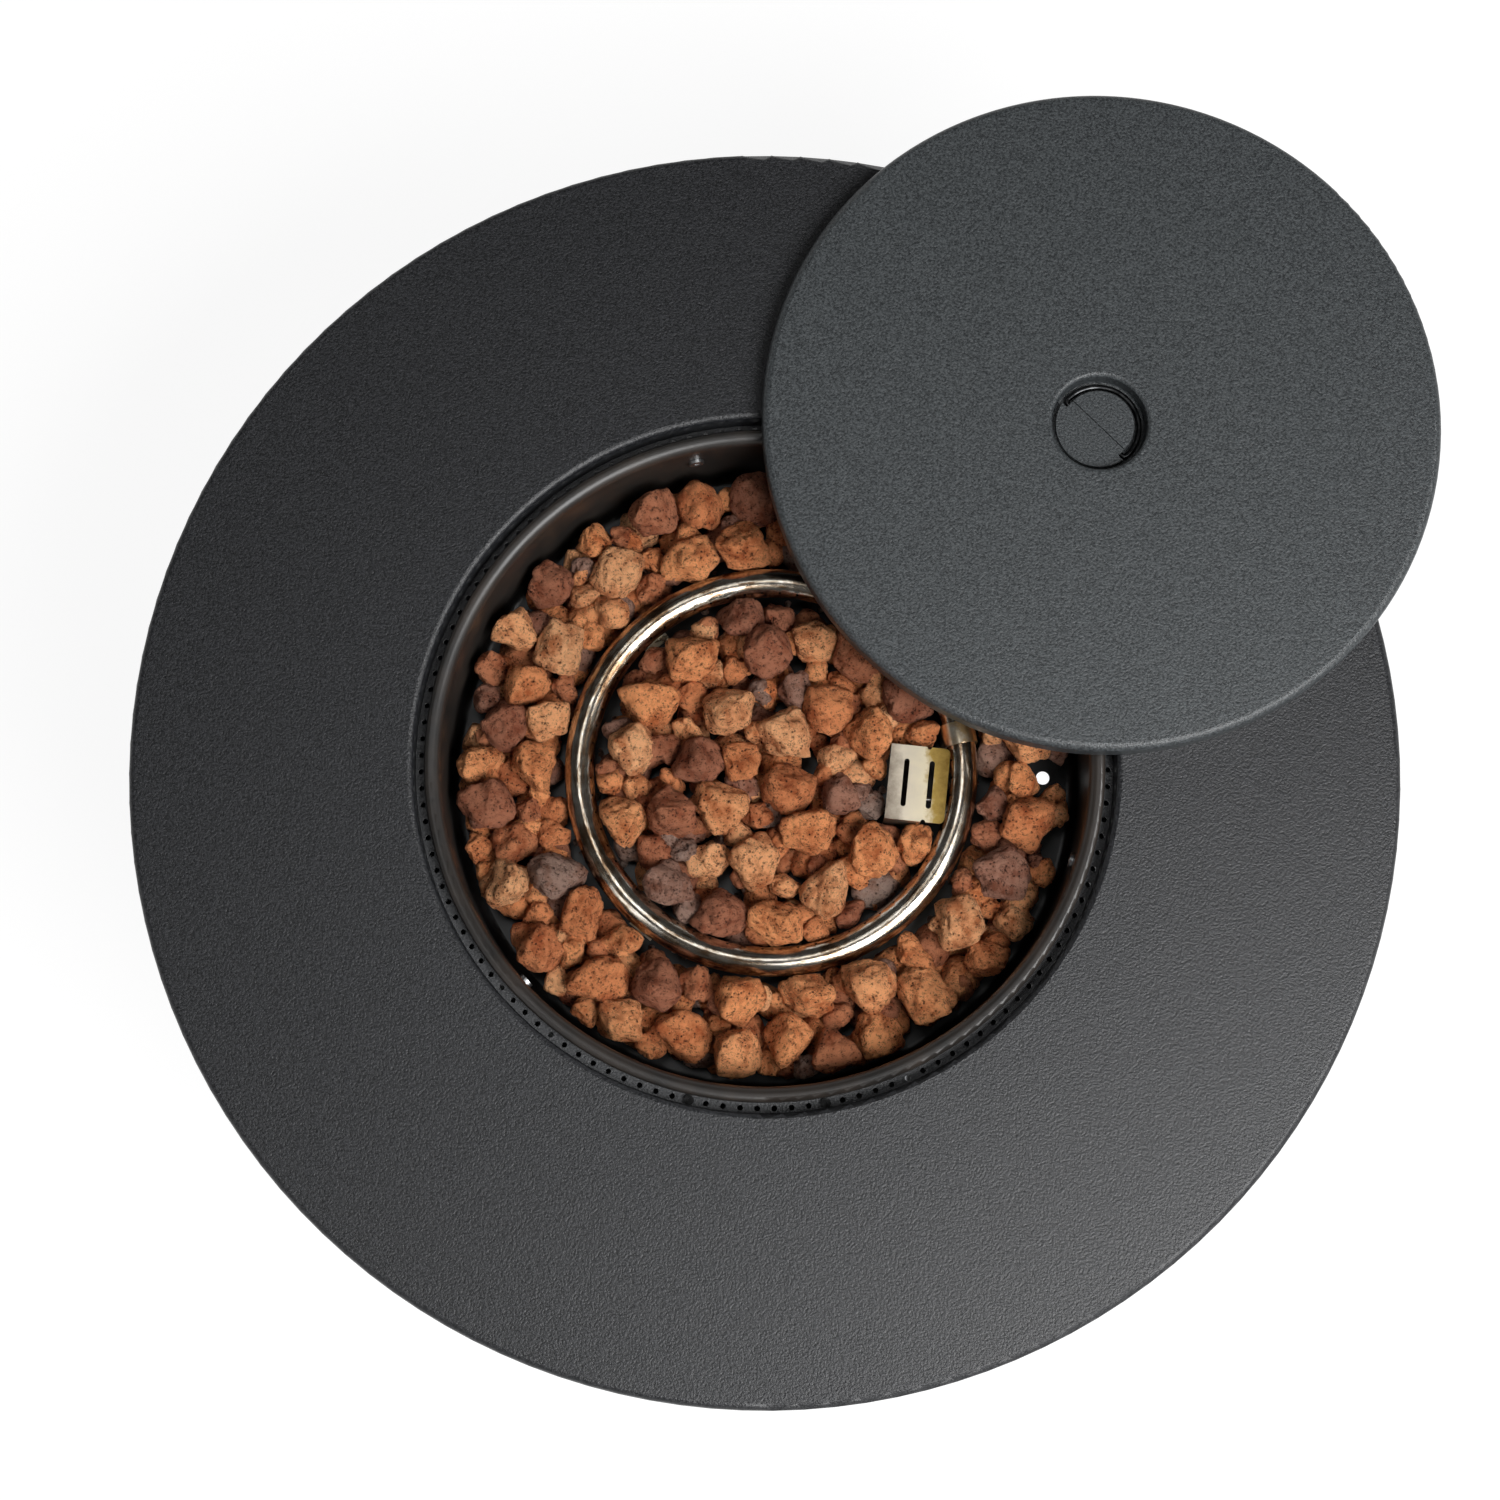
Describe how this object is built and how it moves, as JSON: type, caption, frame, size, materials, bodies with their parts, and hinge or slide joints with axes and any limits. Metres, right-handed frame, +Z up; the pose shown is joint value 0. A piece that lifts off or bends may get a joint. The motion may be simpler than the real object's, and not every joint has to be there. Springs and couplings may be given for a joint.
{
  "type": "round gas fire table",
  "caption": "Round low table with a sunken gas fire bowl, ring burner in lava rocks, control panel, splayed legs and a lift-off lid with a folding pull.",
  "frame": {"origin": "on the floor, on the upright axis of the round table top", "axes": "+Z up along the table's axis; the control panel faces -Y; the lid lies towards +X and +Y"},
  "size_m": [0.9349, 0.939, 0.468],
  "materials": {
    "powder_coat": "fine-grain black powder coat",
    "lid_coat": "fine-grain black powder coat",
    "bowl_enamel": "satin black heat-resistant paint",
    "stainless_tube": "drawn stainless tube with brown heat stains",
    "stainless_sheet": "cold-rolled stainless sheet with heat tint",
    "steel_rod": "drawn steel wire and rod",
    "zinc_steel": "zinc-plated steel",
    "black_screw": "black-oxide steel",
    "brass": "turned brass",
    "cast_aluminium": "die-cast and drawn aluminium",
    "alumina": "fired white alumina",
    "knob_plastic": "moulded black heat-resistant plastic",
    "lead_rubber": "silicone-rubber insulation",
    "copper_sleeve": "drawn copper capillary",
    "foot_rubber": "moulded rubber",
    "lava_stone": "broken porous lava"
  },
  "bodies": {
    "table": {"air_mixer": "cast_aluminium", "bowl_brackets": "bowl_enamel", "bowl_nuts": "zinc_steel", "bowl_screws": "zinc_steel", "burner_riser": "stainless_tube", "burner_strap": "stainless_sheet", "burner_supports": "stainless_sheet", "control_panel": "powder_coat", "drum": "powder_coat", "electrode_insulator": "alumina", "electrode_rod": "steel_rod", "feed_elbow": "brass", "fire_bowl": "bowl_enamel", "flame_sensor": "steel_rod", "foot_back": "foot_rubber", "foot_left": "foot_rubber", "foot_right": "foot_rubber", "gas_injector": "brass", "gas_inlet": "brass", "gas_pipe": "cast_aluminium", "gas_valve": "cast_aluminium", "hanger_nuts": "zinc_steel", "hanger_screws": "black_screw", "igniter_body": "knob_plastic", "igniter_nut": "zinc_steel", "igniter_shield": "stainless_sheet", "ignition_bracket": "stainless_sheet", "ignition_lead": "lead_rubber", "knob_bezel": "stainless_sheet", "lava_rocks_inner": "lava_stone", "lava_rocks_lower": "lava_stone", "lava_rocks_outer": "lava_stone", "leg_back": "powder_coat", "leg_bolts": "zinc_steel", "leg_flange": "powder_coat", "leg_left": "powder_coat", "leg_nuts": "zinc_steel", "leg_right": "powder_coat", "panel_screws": "zinc_steel", "pipe_nuts": "brass", "rib_bolts": "zinc_steel", "rib_nuts": "zinc_steel", "ring_burner": "stainless_tube", "riser_nut": "zinc_steel", "sensor_lead": "copper_sleeve", "sensor_nut": "brass", "table_top": "powder_coat", "top_ribs": "powder_coat", "valve_hanger": "bowl_enamel", "vent_ledge": "bowl_enamel"},
    "lid": {"lid_pan": "lid_coat", "lid_pocket": "lid_coat", "pull_block": "lid_coat", "pull_rest": "lid_coat"},
    "lid_pull": {"pull_bail": "lid_coat"},
    "tap": {"valve_plug": "brass"},
    "knob": {"control_knob": "knob_plastic", "valve_stem": "steel_rod"},
    "spark_button": {"igniter_button": "knob_plastic"}
  },
  "joints": [
    {"name": "lid_lift", "type": "slide", "parent": "table", "child": "lid", "axis": [0, 0, 1], "range_m": [0, 0.3]},
    {"name": "pull_fold", "type": "hinge", "parent": "lid", "child": "lid_pull", "pos_m": [0.23757, 0.23817, 0.4553], "axis": [0.7071, -0.7071, 0], "range_deg": [0, 90]},
    {"name": "knob_turn", "type": "hinge", "parent": "table", "child": "tap", "pos_m": [0.038, -0.288, 0.318], "axis": [0, -1, 0], "range_deg": [0, 200]},
    {"name": "knob_push", "type": "slide", "parent": "tap", "child": "knob", "axis": [0, 1, 0], "range_m": [0, 0.005], "stiffness_N_per_m": 1500},
    {"name": "button_press", "type": "slide", "parent": "table", "child": "spark_button", "axis": [0, 1, 0], "range_m": [0, 0.006], "stiffness_N_per_m": 1500}
  ]
}
